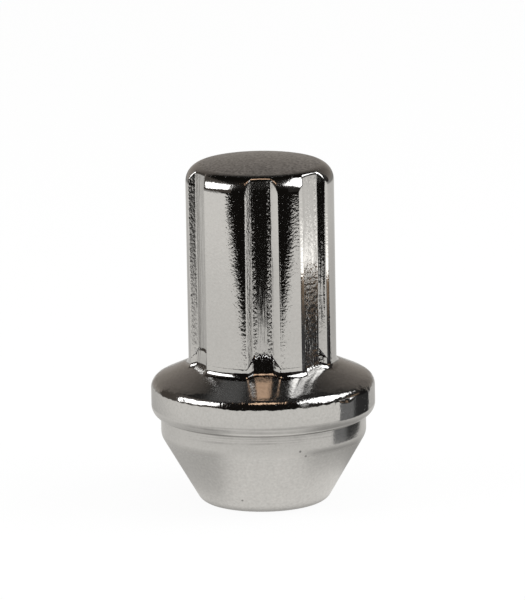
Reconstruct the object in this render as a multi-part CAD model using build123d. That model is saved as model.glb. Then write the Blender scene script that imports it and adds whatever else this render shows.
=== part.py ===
from build123d import *
from math import acos, cos, radians, sin, sqrt, tan
import os

# Driving dimensions, in millimetres and degrees
# The nut stands on its small end at Z 0, with its domed end up

# Seat cone, and the plain collar that stands on it
base_diameter = 16.9
base_chamfer = 0.6
seat_included_angle = 60.0
collar_height = 2.5
collar_chamfer = 0.55

# Flange, which overhangs the collar
flange_diameter = 30.0
flange_overhang = 1.25
flange_under_radius = 1.65
flange_band_height = 3.3
flange_edge_radius = 1.45
flange_top_slope = 24.2

# Barrel with its domed end
barrel_diameter = 19.8
overall_height = 46.7
crown_rise = 1.1
shoulder_radius = 2.4

# Key grooves: polar angles about +Z, unevenly spaced so that only one key fits
groove_angles = (-152.0, -89.0, -41.5, 25.0, 90.0, 150.0)
groove_mouth_width = 4.5
groove_floor_width = 2.4
groove_depth = 1.05
groove_mouth_radius = 0.25

# Foot of the barrel, a little proud of it, with shallower grooves that end on a sill above the flange
foot_step = 0.05
foot_rise = 3.42
foot_half_angle = 32.0
foot_flare = 0.6
foot_flare_height = 0.9
foot_groove_mouth_width = 4.1
foot_groove_floor_width = 2.25
foot_groove_depth = 0.9
foot_sill_rise = 0.1

# Blind stud hole, drilled to the thread's minor diameter
thread_diameter = 14.0
thread_pitch = 1.5
hole_depth = 34.0
drill_point_angle = 118.0
countersink_diameter = 14.5
countersink_angle = 90.0

# Values that follow from the driving dimensions
base_radius = base_diameter / 2
flange_radius = flange_diameter / 2
collar_radius = flange_radius - flange_overhang
barrel_radius = barrel_diameter / 2
foot_radius = barrel_radius + foot_step
thread_height = 5 * sqrt(3) / 16 * thread_pitch
bore_radius = thread_diameter / 2 - thread_height
countersink_radius = countersink_diameter / 2
seat_half_angle = radians(seat_included_angle / 2)
seat_height = (collar_radius - base_radius) / tan(seat_half_angle)
under_reach = flange_under_radius - flange_overhang
under_height = seat_height + collar_height
flange_widest_height = under_height + sqrt(flange_under_radius**2 - under_reach**2)
flange_edge_height = flange_widest_height + flange_band_height
foot_height = flange_edge_height + foot_rise


def flange_top_height(radius):
    """Height of the flange's sloping top, carried on inwards to any radius."""
    return flange_edge_height + (flange_radius - radius) * tan(radians(flange_top_slope))


def groove_face(bar_radius, mouth_width, floor_width, depth):
    """Section of one groove on the +X side of a round bar, open to the flange's radius."""
    floor_x = bar_radius - depth
    floor_half = floor_width / 2
    mouth_half = mouth_width / 2
    mouth_x = sqrt(bar_radius**2 - mouth_half**2)
    wall_spread = (mouth_half - floor_half) / (mouth_x - floor_x)
    open_half = floor_half + wall_spread * (flange_radius - floor_x)
    return make_face(
        Polyline(
            (floor_x, floor_half),
            (floor_x, -floor_half),
            (flange_radius, -open_half),
            (flange_radius, open_half),
            close=True,
        )
    )


def barrel_section():
    """Round section of the barrel with every groove cut in and its mouth eased."""
    section = Circle(barrel_radius)
    groove = groove_face(barrel_radius, groove_mouth_width, groove_floor_width, groove_depth)
    for angle in groove_angles:
        section -= Rot(0, 0, angle) * groove
    # A mouth corner ends a straight wall near the barrel's surface, which a full circle's seam doesn't
    middle_radius = barrel_radius - groove_depth / 4
    wall_ends = section.edges().filter_by(GeomType.LINE).vertices()
    mouth_corners = [v for v in wall_ends if Vector(v).length > middle_radius]
    return fillet(mouth_corners, groove_mouth_radius)


def lower_body():
    """Seat cone, collar, flange and the plain foot of the barrel, turned about the axis."""
    under_middle = acos(under_reach / flange_under_radius) / 2
    under_middle_point = (
        flange_radius - flange_under_radius * (1 - cos(under_middle)),
        flange_widest_height - flange_under_radius * sin(under_middle),
    )
    seat_start = (
        base_radius + base_chamfer * sin(seat_half_angle),
        base_chamfer * cos(seat_half_angle),
    )
    seat_end = (
        collar_radius - collar_chamfer * sin(seat_half_angle),
        seat_height - collar_chamfer * cos(seat_half_angle),
    )
    flare_radius = foot_radius + foot_flare
    flare_height = flange_top_height(flare_radius)
    # The foot's conical end runs on inside the barrel to twice the depth of the grooves
    core_radius = barrel_radius - 2 * groove_depth
    core_height = foot_height + (foot_radius - core_radius) / tan(radians(foot_half_angle))

    seat = Polyline(
        (0, 0),
        (base_radius - base_chamfer, 0),
        seat_start,
        seat_end,
        (collar_radius, seat_height + collar_chamfer),
        (collar_radius, under_height),
    )
    under = ThreePointArc(
        (collar_radius, under_height),
        under_middle_point,
        (flange_radius, flange_widest_height),
    )
    upper = FilletPolyline(
        (flange_radius, flange_widest_height),
        (flange_radius, flange_edge_height),
        (flare_radius, flare_height),
        radius=flange_edge_radius,
    )
    inside = Polyline(
        (flare_radius, flare_height),
        (foot_radius, flare_height + foot_flare_height),
        (foot_radius, foot_height),
        (core_radius, core_height),
        (0, core_height),
        (0, 0),
    )
    profile = make_face(seat + under + upper + inside)
    return revolve(Plane.XZ * profile, Axis.Z)


def foot_groove():
    """Cutter for one groove of the foot, on the +X side, ending on a sill just above the flange."""
    face = groove_face(
        foot_radius,
        foot_groove_mouth_width,
        foot_groove_floor_width,
        foot_groove_depth,
    )
    side = make_face(
        Polyline(
            (0, flange_top_height(0) + foot_sill_rise),
            (flange_radius, flange_edge_height + foot_sill_rise),
            (flange_radius, overall_height),
            (0, overall_height),
            close=True,
        )
    )
    above_sill = extrude(Plane.XZ * side, flange_diameter, both=True)
    return extrude(face, overall_height) & above_sill


def domed_envelope():
    """The round barrel before its grooves, with the rounded shoulder and shallow dome."""
    crown_radius = (barrel_radius**2 + crown_rise**2) / (2 * crown_rise)
    corner_height = overall_height - crown_rise
    half_x = barrel_radius / 2
    half_height = overall_height - crown_radius + sqrt(crown_radius**2 - half_x**2)
    side = Polyline(
        (0, overall_height),
        (0, flange_widest_height),
        (barrel_radius, flange_widest_height),
        (barrel_radius, corner_height),
    )
    crown = ThreePointArc(
        (barrel_radius, corner_height),
        (half_x, half_height),
        (0, overall_height),
    )
    profile = make_face(side + crown)
    shoulder = profile.vertices().sort_by_distance((barrel_radius, corner_height, 0))[0]
    return revolve(Plane.XZ * fillet(shoulder, shoulder_radius), Axis.Z)


def barrel():
    """The domed barrel with its key grooves running out through the shoulder."""
    length = overall_height - flange_widest_height
    grooved_bar = extrude(Pos(0, 0, flange_widest_height) * barrel_section(), length)
    return grooved_bar & domed_envelope()


def stud_hole():
    """Blind hole with a drill point at its end and a countersink at its mouth."""
    point_height = bore_radius / tan(radians(drill_point_angle / 2))
    sink_depth = (countersink_radius - bore_radius) / tan(radians(countersink_angle / 2))
    profile = make_face(
        Polyline(
            (0, 0),
            (countersink_radius, 0),
            (bore_radius, sink_depth),
            (bore_radius, hole_depth),
            (0, hole_depth + point_height),
            close=True,
        )
    )
    return revolve(Plane.XZ * profile, Axis.Z)


wheel_nut = lower_body()
for angle in groove_angles:
    wheel_nut -= Rot(0, 0, angle) * foot_groove()
wheel_nut = wheel_nut + barrel() - stud_hole()

os.makedirs("parts", exist_ok=True)
export_step(wheel_nut, "parts/wheel_nut.step")
print("wheel_nut volume", round(wheel_nut.volume, 1), "mm3, size", wheel_nut.bounding_box().size)
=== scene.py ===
# %% [markdown]
# # A chrome locking wheel nut
# The nut is one forged and turned piece of steel under bright chrome plating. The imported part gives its
# true size and place, so the lesson starts by loading it. Its box is kept, because the dressed nut has to
# stay inside it. Lengths are in millimetres until they are handed to Blender, which works in metres.

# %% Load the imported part
from math import asin, atan2, cos, degrees, pi, radians, sin, sqrt, tan

import bmesh
import bpy
import numpy as np
from mathutils import Matrix, Vector


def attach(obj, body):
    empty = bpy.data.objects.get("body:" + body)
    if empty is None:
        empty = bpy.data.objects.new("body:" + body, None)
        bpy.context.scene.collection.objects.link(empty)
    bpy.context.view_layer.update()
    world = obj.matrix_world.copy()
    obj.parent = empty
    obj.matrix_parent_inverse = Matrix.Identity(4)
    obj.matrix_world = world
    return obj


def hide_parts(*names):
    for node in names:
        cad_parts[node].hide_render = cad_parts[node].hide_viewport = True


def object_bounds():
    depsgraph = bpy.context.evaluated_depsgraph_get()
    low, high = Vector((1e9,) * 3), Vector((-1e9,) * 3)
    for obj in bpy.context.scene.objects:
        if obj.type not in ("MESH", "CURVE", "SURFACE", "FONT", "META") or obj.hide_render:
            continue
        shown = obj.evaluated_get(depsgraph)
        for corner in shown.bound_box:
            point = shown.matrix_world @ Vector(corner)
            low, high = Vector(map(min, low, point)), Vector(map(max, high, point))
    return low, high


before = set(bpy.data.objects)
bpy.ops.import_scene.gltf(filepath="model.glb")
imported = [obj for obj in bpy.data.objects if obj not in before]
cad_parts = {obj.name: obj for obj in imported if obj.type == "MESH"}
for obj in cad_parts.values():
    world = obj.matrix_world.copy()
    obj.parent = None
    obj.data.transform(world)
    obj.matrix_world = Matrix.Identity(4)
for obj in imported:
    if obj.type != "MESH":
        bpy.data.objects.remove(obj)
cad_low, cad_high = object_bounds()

MM = 0.001
overall_height = cad_high.z / MM
flange_radius = cad_high.x / MM
print("nodes", sorted(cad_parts))
print("height", round(overall_height, 2), "mm, flange radius", round(flange_radius, 2), "mm")

# %% [markdown]
# ## Camera
# Mirror-like metal shows whatever stands where it looks, so the camera comes first. It looks slightly down
# on the nut with a long lens, which keeps the upright sides of the barrel parallel. The axes are written out
# as a matrix, because the small roll of the picture is then one plain angle.

# %% Place the camera
camera_elevation = radians(12.8)
camera_roll = radians(-0.95)
camera_distance = 960.0
frame_height = 80.7
aim_right = -0.32
aim_up = 26.58
sensor_height = 36.0


def camera_axes():
    """Right, up and back directions of the camera, rolled about its line of sight."""
    level_right = Vector((1, 0, 0))
    level_up = Vector((0, sin(camera_elevation), cos(camera_elevation)))
    back = Vector((0, -cos(camera_elevation), sin(camera_elevation)))
    right = cos(camera_roll) * level_right + sin(camera_roll) * level_up
    up = cos(camera_roll) * level_up - sin(camera_roll) * level_right
    return right, up, back


def place_camera():
    """A camera whose picture is frame_height millimetres tall at the nut's axis."""
    data = bpy.data.cameras.new("camera")
    data.sensor_fit = "VERTICAL"
    data.sensor_height = sensor_height
    data.lens = sensor_height * camera_distance / frame_height
    camera = bpy.data.objects.new("camera", data)
    right, up, back = camera_axes()
    place = (aim_right * right + aim_up * up + camera_distance * back) * MM
    turn = Matrix((right, up, back)).transposed().to_4x4()
    camera.matrix_world = Matrix.Translation(place) @ turn
    bpy.context.scene.collection.objects.link(camera)
    bpy.context.scene.camera = camera
    return camera


camera = place_camera()
print("camera lens", round(camera.data.lens), "mm at", [round(x, 3) for x in camera.location])

# %% [markdown]
# ## Key grooves
# The barrel has unevenly spaced grooves for the ribs of its key. Cutting them with booleans leaves long
# thin triangles that spoil reflections, so the section is written as a formula instead: the distance from
# the axis to the metal at any angle. A smooth minimum and a smooth maximum ease its corners as the plating
# does. Wear goes into the same formula: three left walls are steeper, and one groove's right wall stands
# further out.

# %% Groove sizes
groove_angles = np.radians([-152.0, -89.0, -41.5, 25.0, 90.0, 150.0])
# Extra half width of each floor on its left side, which makes that wall steeper
wider_left = [0.26, 0.18, 0.3, 0.0, 0.0, 0.0]
# The worn groove, and how much further out its right wall stands
worn_groove = groove_angles[2]
worn_shift = 0.2
barrel_radius = 9.9
barrel_groove = {"bar": barrel_radius, "mouth": 4.5, "floor": 2.4, "depth": 1.05}
print(len(groove_angles), "grooves", barrel_groove["depth"], "mm deep in a barrel of radius", barrel_radius)

# %% Groove section
full_turn = 2 * pi
floor_ease = 0.08
# A groove ends within this angle of its middle, in radians
widest_turn = 1.0
# Below this, a line from the axis runs along a groove's wall and doesn't meet it
least_reach = 0.1
FAR = 100.0


def signed_turn(angles, centre):
    """Angles measured from a centre, from minus half a turn to half a turn."""
    return (angles - centre + pi) % full_turn - pi


def smooth_min(a, b, ease):
    """The smaller of two radii, rounded where they come within ease of each other."""
    return np.minimum(a, b) - np.maximum(ease - np.abs(a - b), 0) ** 2 / (4 * ease)


def smooth_max(a, b, ease):
    """The larger of two radii, rounded where they come within ease of each other."""
    return np.maximum(a, b) + np.maximum(ease - np.abs(a - b), 0) ** 2 / (4 * ease)


def groove_surface(angles, groove):
    """Radius of the groove floors and walls at each angle, and FAR away from any groove."""
    floor_x = groove["bar"] - groove["depth"]
    mouth_half = groove["mouth"] / 2
    mouth_x = sqrt(groove["bar"] ** 2 - mouth_half**2)
    surface = np.full(angles.shape, FAR)
    for centre, wider in zip(groove_angles, wider_left):
        signed = signed_turn(angles, centre)
        turn = np.abs(signed)
        shift = worn_shift * (signed > 0) * (centre == worn_groove)
        floor_half = groove["floor"] / 2 + wider * (signed < 0) + shift
        slope = (mouth_x - floor_x) / (mouth_half + shift - floor_half)
        reach = np.cos(turn) - slope * np.sin(turn)
        inside = reach > least_reach
        wall = (floor_x - slope * floor_half) / np.where(inside, reach, 1)
        floor = floor_x / np.cos(np.minimum(turn, widest_turn))
        eased = smooth_max(floor, wall, floor_ease)
        surface = np.where(inside, np.minimum(surface, eased), surface)
    return surface


deepest = groove_surface(groove_angles, barrel_groove).min()
print("groove floors", round(deepest, 2), "mm from the axis")

# %% [markdown]
# ## Columns of the mesh
# A mirror shows every change of slope, so the mesh needs close columns where a groove bends and few on the
# round lands between. An even spacing would spend its triangles in the wrong places, so the angles are
# chosen groove by groove. The worn groove also has a narrow flat at each side of its mouth, with close
# columns too.

# %% Columns around the axis
# Distance of the worn flats from the axis
worn_flat = 9.48
flat_ease = 0.02
# Steps at a groove's bends, on the worn flats and on the lands
bend_step, flat_step, land_step = np.radians([0.36, 0.55, 1.1])
# How far close columns run on past a groove's bends, and past the worn groove's mouth
bend_margin, flat_reach = np.radians([1.1, 5.0])
# Columns on a floor, at each side of its middle
floor_columns = 5


def worn_bar(angles, bar):
    """Radius of a round bar at each angle, with the flats at the worn groove's mouth."""
    turn = np.abs(signed_turn(angles, worn_groove))
    return smooth_min(bar, worn_flat / np.cos(np.minimum(turn, widest_turn)), flat_ease)


def column_angles():
    """Angles of the mesh columns: close together where a groove bends, wide apart on the lands."""
    floor_bend = atan2(barrel_groove["floor"] / 2, barrel_radius - barrel_groove["depth"])
    mouth_bend = asin(barrel_groove["mouth"] / 2 / barrel_radius)
    half = np.arange(floor_bend - bend_margin, mouth_bend + bend_margin, bend_step)
    floor_steps = np.arange(-floor_columns, floor_columns + 1)
    floor = floor_steps * (floor_bend - bend_margin) / (floor_columns + 0.5)
    across = np.concatenate([-half, floor, half])
    flats = np.arange(half[-1] + flat_step, mouth_bend + flat_reach, flat_step)
    angles = [(worn_groove + flats) % full_turn, (worn_groove - flats) % full_turn]
    lands = np.arange(0, full_turn, land_step)
    for centre in groove_angles:
        reach = flats[-1] if centre == worn_groove else half[-1]
        angles.append((centre + across) % full_turn)
        lands = lands[np.abs(signed_turn(lands, centre)) > reach + land_step / 3]
    return np.sort(np.concatenate(angles + [lands]))


columns = column_angles()
barrel_cut = groove_surface(columns, barrel_groove)
barrel_bar = worn_bar(columns, barrel_radius)
print(len(columns), "columns, the closest", round(degrees(np.diff(columns).min()), 2), "degrees apart")

# %% [markdown]
# ## Rows of the profile
# The rest of the nut is turned, so its profile can be walked from the top of the dome down to the small
# end. Blender's Screw modifier could spin it, but the grooves and the wear change it from column to column.
# So each row of the mesh is one step of that walk: a radius and a height for every column. Arcs get many
# rows and straight stretches few. A row also notes its finish there: how hazy the plating is, how worn its
# edge, how thick the film of dust and how coarse the crust.

# %% Row helpers
rows = []


def add_row(radius, height, haze, part, edge=0.0, film=0.0, crust=0.0):
    """One ring of the mesh; each value may be a single number or one for each column."""
    values = {"radius": radius, "height": height, "haze": haze, "edge": edge, "film": film, "crust": crust}
    row = {name: np.broadcast_to(np.asarray(value, float), columns.shape) for name, value in values.items()}
    rows.append({"part": part, **row})


def add_arc(centre, radius, start, end, count, haze, part, film=0.0):
    """Rings along an arc of the profile; angles in degrees from the horizontal, normals outwards."""
    for angle in np.radians(np.linspace(start, end, count)):
        place = (centre[0] + radius * np.cos(angle), centre[1] + radius * np.sin(angle))
        add_row(*place, haze, part, film=film)


def uneven(count, seed):
    """Smooth random values from -1 to 1 around the ring, one for each column."""
    values = np.random.default_rng(seed).uniform(-1, 1, count)
    turns = np.arange(count + 1) * full_turn / count
    return np.interp(columns, turns, np.append(values, values[0]))


def turn_from(place):
    """Angle of each column from a place around the ring, in degrees."""
    return np.degrees(signed_turn(columns, radians(place)))


def around(place, half, power=4):
    """One near a place around the ring and zero past a half width in degrees, for each column."""
    return np.exp(-((turn_from(place) / half) ** power))


def fade(value, end):
    """One at zero, falling evenly to zero at the end and staying there."""
    return np.clip(1 - value / end, 0, 1)


print("a row has", len(columns), "points, and", len(rows), "rows are made so far")

# %% [markdown]
# ## Dome, shoulder and barrel
# A shallow satin dome closes the nut, and a polished shoulder rounds it off into the barrel. The grooves run
# out through that shoulder. A bevel on a cut mesh would stumble there, so each row takes the smaller of the
# turned radius and the groove section, with an easing that tightens on the way down.

# %% Dome and shoulder
crown_rise = 1.1
crown_haze = 0.3
crown_film = 0.5
crown_rows = 14
# Slope of the first ring, and how far the last one stays from the shoulder, in degrees
crown_start = 89.2
crown_gap = 0.3
shoulder_radius = 2.4
shoulder_rows = 44
polish_haze = 0.045
# Easing of a groove's mouth corners on the barrel, and at the upper end of the shoulder
mouth_ease = 0.14
rim_ease = 0.5
# Share of the shoulder on which the dome's satin fades out
satin_end = 0.25
# Middle, half width and strength of the wear along the shoulder, and the haze that comes with it
wear_middle = 0.6
wear_half = 2 / 7
wear_strength = 0.35
wear_haze = 0.3

crown_radius = (barrel_radius**2 + crown_rise**2) / (2 * crown_rise)
crown_centre = overall_height - crown_radius
shoulder_x = barrel_radius - shoulder_radius
shoulder_z = crown_centre + sqrt((crown_radius - shoulder_radius) ** 2 - shoulder_x**2)
crown_end = degrees(atan2(shoulder_z - crown_centre, shoulder_x))
crown_arc = (crown_start, crown_end + crown_gap, crown_rows)
add_arc((0, crown_centre), crown_radius, *crown_arc, crown_haze, "crown", film=crown_film)
for share in np.linspace(0, 1, shoulder_rows):
    angle = radians(crown_end * (1 - share))
    round_radius = shoulder_x + shoulder_radius * cos(angle)
    ease = rim_ease + (mouth_ease - rim_ease) * share
    radius = smooth_min(np.minimum(round_radius, barrel_bar), barrel_cut, ease)
    worn = wear_strength * max(0.0, 1 - ((share - wear_middle) / wear_half) ** 2)
    haze = max(polish_haze, crown_haze * (1 - share / satin_end)) + wear_haze * worn
    film = crown_film * fade(share, satin_end)
    add_row(radius, shoulder_z + shoulder_radius * sin(angle), haze, "barrel", edge=worn, film=film)
print("shoulder from", round(rows[crown_rows]["height"].max(), 2), "to", round(shoulder_z, 2), "mm")

# %% Barrel wall
foot_height = 20.0
wall_rows = 8
wall_top = shoulder_z - 0.15
wall_bottom = foot_height + 2.4
# Angle, half width and haze of a dull flank
dull_place = -163.5
dull_half = 2.8
dull_haze = 0.12

barrel_wall = smooth_min(barrel_bar, barrel_cut, mouth_ease)
wall_haze = polish_haze + dull_haze * around(dull_place, dull_half)
for height in np.linspace(wall_top, wall_bottom, wall_rows):
    add_row(barrel_wall, height, wall_haze, "barrel")
print("barrel wall from", round(wall_top, 2), "to", wall_bottom, "mm")

# %% [markdown]
# ## Foot of the barrel
# The tool that formed the grooves stopped just above the flange. It left a slanting crease and, below it, a
# slightly fuller foot whose grooves are shallower. A cutter would leave a clean line there, but the real
# crease climbs into each groove and is ragged in the front one. So its height is worked out column by
# column, from how deep the groove is. The worn groove's floor runs on into the foot with hardly a step, and
# only its right wall keeps the crease.

# %% Crease
foot_radius = 9.905
foot_groove = {"bar": foot_radius, "mouth": 4.46, "floor": 2.3, "depth": 0.9}
crease_rise = 1 / tan(radians(32.0))
crease_shares = (-0.6, -0.25, 0.0, 0.25, 0.5, 0.75, 1.0, 1.25)
# Where along these shares the step starts, and how long it is
step_start = -0.25
step_length = 1.5
# Drop from row to row where there is no step at all
least_drop = 0.03
# Angles from the worn groove's middle at which its floor stops running on, and the step that it keeps
run_on_end = 8.5
run_on_reach = 20.0
run_on_step = 0.02
front_place = -89.0
front_half = 15.0
# How far the crease wanders in the front groove, the share of that elsewhere, and its bends and seed
crease_wander = 0.3
calm_share = 0.15
crease_bends = 300
crease_seed = 5
# Crust along the crease: in every groove, more in the front one, and on the lands
groove_crust = 0.15
front_crust = 0.65
land_crust = 0.3
land_limit = 0.05

foot_cut = groove_surface(columns, foot_groove)
foot_wall = smooth_min(worn_bar(columns, foot_radius), foot_cut, mouth_ease)
worn_turn = turn_from(degrees(worn_groove))
runs_on = np.clip(run_on_end - worn_turn, 0, 1) * (np.abs(worn_turn) < run_on_reach)
foot_wall = foot_wall - runs_on * np.maximum(foot_wall - barrel_wall - run_on_step, 0)
foot_step = foot_wall - barrel_wall
groove_share = (foot_radius - foot_wall) / foot_groove["depth"]
at_front = around(front_place, front_half)
ragged = uneven(crease_bends, crease_seed) * groove_share * (calm_share + (1 - calm_share) * at_front)
crease_top = foot_height + (foot_radius - barrel_wall) * crease_rise + crease_wander * ragged
crease_low = crease_top - foot_step * crease_rise
crusted_groove = groove_share * (groove_crust + front_crust * at_front)
crease_crust = np.where(groove_share > land_limit, crusted_groove, land_crust)
for share in crease_shares:
    part_way = np.clip((share - step_start) / step_length, 0, 1)
    eased = part_way * part_way * (3 - 2 * part_way)
    height = crease_top + (crease_low - crease_top) * share - least_drop * share
    add_row(barrel_wall + foot_step * eased, height, polish_haze, "barrel", crust=crease_crust)
print("crease from", round(crease_low.min(), 2), "to", round(crease_top.max(), 2), "mm")

# %% Foot and its fillet
flange_edge_height = 16.58
flange_slope = radians(24.2)
top_angle = 90 - degrees(flange_slope)
# The floors of the foot's grooves lean outwards by this angle, over this height
lean_angle = radians(5.0)
lean_height = 1.5
foot_fillet = 1.0
foot_shares = (0.35, 0.7)
fillet_rows = 12


def flange_top(radius):
    """Height of the flange's sloping top, carried on inwards to any radius."""
    return flange_edge_height + (flange_radius - radius) * tan(flange_slope)


foot_end = foot_wall + tan(lean_angle) * lean_height * groove_share
fillet_height = flange_top(foot_end + foot_fillet) + foot_fillet / cos(flange_slope)
last_height = rows[-1]["height"]
for share in foot_shares:
    height = last_height + (fillet_height - last_height) * share
    add_row(foot_wall + (foot_end - foot_wall) * share, height, polish_haze, "barrel")
for angle in np.radians(np.linspace(0, top_angle, fillet_rows)):
    fillet_radius = foot_end + foot_fillet * (1 - np.cos(angle))
    add_row(fillet_radius, fillet_height - foot_fillet * np.sin(angle), polish_haze, "barrel")
print("foot meets the flange", round(rows[-1]["radius"].max(), 2), "mm from the axis")

# %% [markdown]
# ## Flange
# The flange was turned: a sloping top, a rounded edge and an upright band. Handling has knocked small nicks
# and one long scoop into its edge, and the edge itself wobbles a little. These could be faked with a bump,
# but an edge this bright shows every change of its slope, so all of them are real dents in the mesh.

# %% Wear of the edge
edge_radius = 1.45
# Angle, half width, slope of the flattened spot and depth of each nick on the rounded edge
nicks = [
    (-49.5, 1.6, 10.0, 0.045),
    (-28.5, 3.2, 46.0, 0.05),
    (-21.5, 2.4, 22.0, 0.06),
    (-66.0, 2.0, 35.0, 0.03),
    (-76.0, 2.0, 25.0, 0.03),
    (-101.0, 2.5, 28.0, 0.03),
    (-137.0, 2.5, 20.0, 0.03),
    (35.0, 3.0, 30.0, 0.05),
    (128.0, 4.0, 15.0, 0.04),
]
# Depth, waves around the ring and phase of each ripple, and the even wear under them
ripples = [(0.012, 17, 1.1), (0.008, 31, 0.4)]
even_wear = 0.02
# Slope in degrees from which that wear has its full depth
wear_slope = 25.0
# Angle, half width, lowest and highest point, lip and slope of the scoop under the edge
scoop_place = -41.5
scoop_half = 6.5
scoop_low = -0.34
scoop_high = 0.2
scoop_lip = 0.08
scoop_slope = tan(radians(23))


def scoop(rise):
    """Depth of the scoop at a height over the start of the rounding, for each column."""
    share = np.clip(1 - (turn_from(scoop_place) / scoop_half) ** 2, 0, 1)
    start = scoop_high + (scoop_low - scoop_high) * share
    lip = np.clip((scoop_high + scoop_lip - rise) / scoop_lip, 0, 1)
    return scoop_slope * np.maximum(rise - start, 0) * lip * (share > 0)


def worn_reach(angle):
    """Distance of the worn edge from the middle of its rounding at one angle, for each column."""
    ripple = sum(depth * np.sin(waves * columns + phase) for depth, waves, phase in ripples)
    reach = edge_radius - (even_wear + ripple) * min(1.0, degrees(angle) / wear_slope)
    for place, half, slope, depth in nicks:
        cut = depth * np.clip(1 - (turn_from(place) / half) ** 2, 0, 1)
        flattened = (edge_radius - cut) / np.cos(angle - radians(slope))
        reach = np.minimum(reach, flattened)
    return reach


print(len(nicks), "nicks, and a scoop", round(scoop(scoop_high).max(), 2), "mm deep")

# %% Flange top and edge
flange_haze = 0.12
band_haze = 0.07
edge_haze = 0.03
# The edge mark of the materials: its growth with the slope, and its value at the top of the band
edge_growth = 3.0
edge_least = 0.3
# Up and down wobble of the edge, the slope in degrees at which it ends, and its bends and seed
edge_wobble = 0.11
wobble_end = 35.0
wobble_bends = 180
wobble_seed = 3
# A film of dust lies on the top, thickest around one angle, and ends between two slopes of the edge
dusty_place = -111.0
dusty_half = 10.5
dusty_least = 0.2
film_low, film_high = 35.0, 50.0
# Angle, half width, slope and haze of a scuffed spot
scuff_place = -68.5
scuff_half = 2.6
scuff_slope = 16.0
scuff_haze = 0.25
top_shares = np.linspace(0.06, 0.97, 9)
edge_rows = 26

edge_x = flange_radius - edge_radius
edge_z = flange_top(edge_x) - edge_radius / cos(flange_slope)
cone_end = edge_x + edge_radius * sin(flange_slope)
cone_start = rows[-1]["radius"]
film = dusty_least + (1 - dusty_least) * around(dusty_place, dusty_half)
wobble = edge_wobble * uneven(wobble_bends, wobble_seed)
scuffed = scuff_haze * around(scuff_place, scuff_half)
for share in top_shares:
    radius = cone_start + (cone_end - cone_start) * share
    add_row(radius, flange_top(radius), flange_haze, "flange", film=film)
for angle in np.radians(np.linspace(top_angle, 0, edge_rows)):
    slope = degrees(angle)
    edge = min(1.0, edge_growth * sin(angle) + edge_least)
    upper = np.clip((slope - film_low) / (film_high - film_low), 0, 1)
    reach = worn_reach(angle)
    rise = reach * np.sin(angle)
    radius = edge_x + reach * np.cos(angle) - scoop(rise)
    height = edge_z + rise + wobble * fade(slope, wobble_end)
    haze = band_haze + edge_haze * edge + scuffed * max(0.0, 1 - (slope / scuff_slope - 1) ** 2)
    add_row(radius, height, haze, "flange", edge=edge, film=upper * film)
print("flange edge rounds off at", round(edge_z, 2), "mm")

# %% Flange band
widest_height = 13.28
band_shares = (0.02, 0.04, 0.06, 0.08, 0.1, 0.12, 0.14, 0.16, 0.2, 0.3, 0.5, 1.0)
# Shares of the band at which the worn look and the wobble end
band_edge_end = 0.25
band_wobble_end = 0.2

band_wear = edge_radius - worn_reach(0.0)
for share in band_shares:
    rise = (widest_height - edge_z) * share
    radius = flange_radius - band_wear * (1 - share) ** 4 - scoop(rise)
    height = edge_z + rise + wobble * fade(share, band_wobble_end)
    add_row(radius, height, band_haze, "flange", edge=edge_least * fade(share, band_edge_end))
print("flange band from", round(edge_z, 2), "down to", widest_height, "mm")

# %% [markdown]
# ## Seat
# Under the flange come a rounded overhang, a plain collar and the cone that centres the nut in its wheel.
# These faces keep faint marks of the lathe and a satin plating, so they get more haze. A Bevel modifier
# would round all their corners alike, so the arcs are written into the profile, each with its own radius.
# The overhang ends in a true crease on the collar, which stays sharp.

# %% Underside, collar, cone and small end
flange_overhang = 1.25
under_radius = 1.65
under_start = -3.0
under_rows = 14
under_haze = 0.12
collar_corner = 2.0
collar_corner_rows = 8
# Height that the collar's first row stays under the crease
collar_gap = 0.05
collar_haze = 0.15
seat_angle = 30.0
seat_shares = (0.03, 0.25, 0.5, 0.75, 0.97)
seat_haze = 0.32
base_radius = 8.45
base_corner = 1.7
base_corner_rows = 9
sink_radius = 7.25

collar_radius = flange_radius - flange_overhang
under_x = flange_radius - under_radius
under_end = -degrees(np.arccos((collar_radius - under_x) / under_radius))
add_arc((under_x, widest_height), under_radius, under_start, under_end, under_rows, under_haze, "seat")
collar_top = widest_height + under_radius * sin(radians(under_end))
seat_height = (collar_radius - base_radius) / tan(radians(seat_angle))
corner_drop = collar_corner * tan(radians(seat_angle / 2))
corner_centre = (collar_radius - collar_corner, seat_height + corner_drop)
add_row(collar_radius, collar_top - collar_gap, collar_haze, "seat")
add_row(collar_radius, (collar_top + corner_centre[1]) / 2, collar_haze, "seat")
add_arc(corner_centre, collar_corner, 0, -seat_angle, collar_corner_rows, collar_haze, "seat")
base_run = base_corner * tan(radians((90 - seat_angle) / 2))
base_centre = (base_radius - base_run, base_corner)
cone_top = (rows[-1]["radius"][0], rows[-1]["height"][0])
cone_foot = (
    base_centre[0] + base_corner * cos(radians(seat_angle)),
    base_centre[1] - base_corner * sin(radians(seat_angle)),
)
for share in seat_shares:
    radius = cone_top[0] + (cone_foot[0] - cone_top[0]) * share
    height = cone_top[1] + (cone_foot[1] - cone_top[1]) * share
    add_row(radius, height, seat_haze, "seat")
add_arc(base_centre, base_corner, -seat_angle, -90, base_corner_rows, seat_haze, "seat")
add_row((base_centre[0] + sink_radius) / 2, 0, seat_haze, "seat")
print(len(rows), "rows from the dome to the small end")

# %% [markdown]
# ## Stud thread
# The small end holds a blind M14 x 1.5 thread, too fine for the solid model, so it is made here. A Screw
# modifier makes a helix too, but leaves its ends open. Here the rows climb with the helix, four to a turn:
# the two corners of the crest and the two of the root. At both ends the rows are clipped to a flat ring and
# the depth fades out, and doubled points are merged later.

# %% Thread rows
thread_diameter = 14.0
thread_pitch = 1.5
thread_depth = 5 * sqrt(3) / 16 * thread_pitch
thread_end = 32.5
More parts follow.
